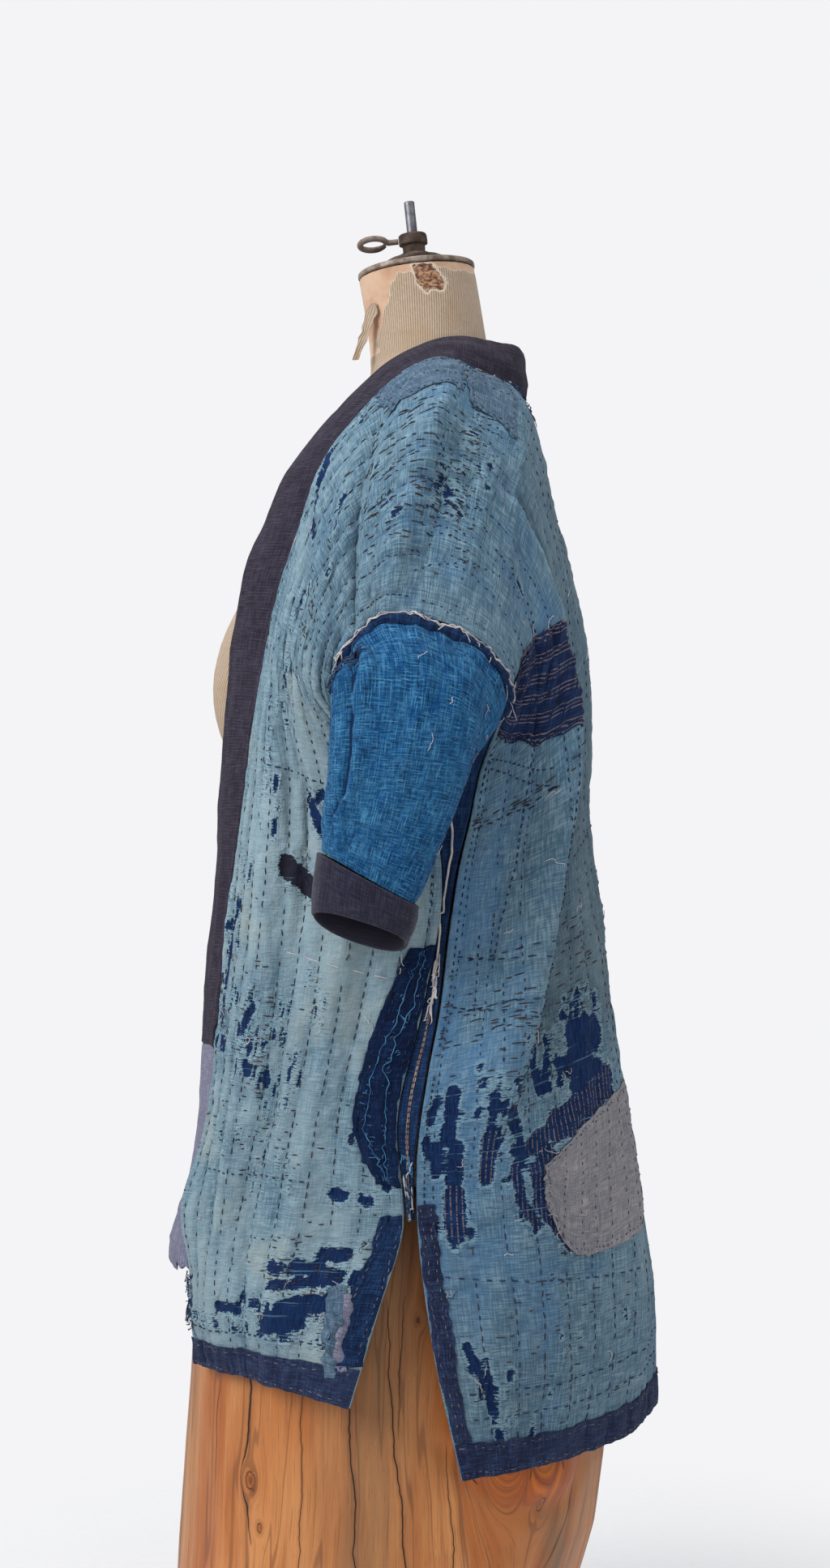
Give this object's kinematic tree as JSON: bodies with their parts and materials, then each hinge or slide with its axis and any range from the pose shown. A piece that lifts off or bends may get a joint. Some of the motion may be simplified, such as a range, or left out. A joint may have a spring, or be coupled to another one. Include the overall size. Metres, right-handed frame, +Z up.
{
  "type": "noragi work jacket on a dress form",
  "caption": "Patched and mended indigo work jacket, worn open on a limbless dress form with a neck cap, rod and clamp screw, on a polished trunk stump.",
  "frame": {"origin": "middle of the stump's flat underside", "axes": "+Z up; the front of the jacket faces -Y and its back +Y; the wearer's left is +X"},
  "size_m": [0.5238, 0.4307, 1.3434],
  "materials": {
    "faded_indigo": "matt, much washed, indigo rubbed to grey-blue",
    "lavender_cotton": "matt, narrow dark stripes",
    "frayed_selvedge": "matt, frayed cut edges rolled outwards",
    "bright_indigo": "matt, pale pinstripes",
    "charcoal_cotton": "matt, faint brown check",
    "navy_cotton": "matt, dark indigo",
    "washed_indigo": "matt, napped",
    "striped_navy": "matt, pale stripes",
    "grey_check": "matt, grey with a faint check",
    "ribbed_linen": "matt, fine ribs, aged",
    "polished_wood": "polished, orange brown, with drying cracks",
    "pewter_cap": "dull, tarnished rim",
    "cast_iron": "matt, worn grey-brown",
    "steel_rod": "satin"
  },
  "bodies": {
    "stand": {"body_left": "faded_indigo", "body_right": "faded_indigo", "collar_end_left": "lavender_cotton", "collar_end_right": "lavender_cotton", "armhole_roll_left": "frayed_selvedge", "armhole_roll_right": "frayed_selvedge", "sleeve_left": "bright_indigo", "sleeve_right": "bright_indigo", "cuff_left": "charcoal_cotton", "cuff_right": "charcoal_cotton", "gusset_left": "navy_cotton", "gusset_right": "navy_cotton", "side_flap_left": "navy_cotton", "side_flap_right": "navy_cotton", "hem_band_front_left": "navy_cotton", "hem_band_front_right": "navy_cotton", "hem_band_back_left": "navy_cotton", "hem_band_back_right": "navy_cotton", "vent_band_front_left": "navy_cotton", "vent_band_front_right": "navy_cotton", "vent_band_back_left": "navy_cotton", "vent_band_back_right": "navy_cotton", "shoulder_patch_left": "washed_indigo", "shoulder_patch_right": "washed_indigo", "yoke_patch_left": "washed_indigo", "yoke_patch_right": "washed_indigo", "underarm_patch_left": "striped_navy", "underarm_patch_right": "striped_navy", "back_patch_left": "grey_check", "back_patch_right": "grey_check", "collar": "charcoal_cotton", "form_torso": "ribbed_linen", "stump": "polished_wood", "neck_cap": "pewter_cap", "neck_flange": "cast_iron", "clamp_collar": "cast_iron", "rod": "steel_rod"},
    "clamp_screw": {"clamp_screw": "cast_iron"}
  },
  "joints": [
    {"name": "clamp_screw_turn", "type": "hinge", "parent": "stand", "child": "clamp_screw", "pos_m": [0, 0.00833, 1.30787], "axis": [0, -0.9945, -0.1045], "range_deg": [0, 180]}
  ]
}
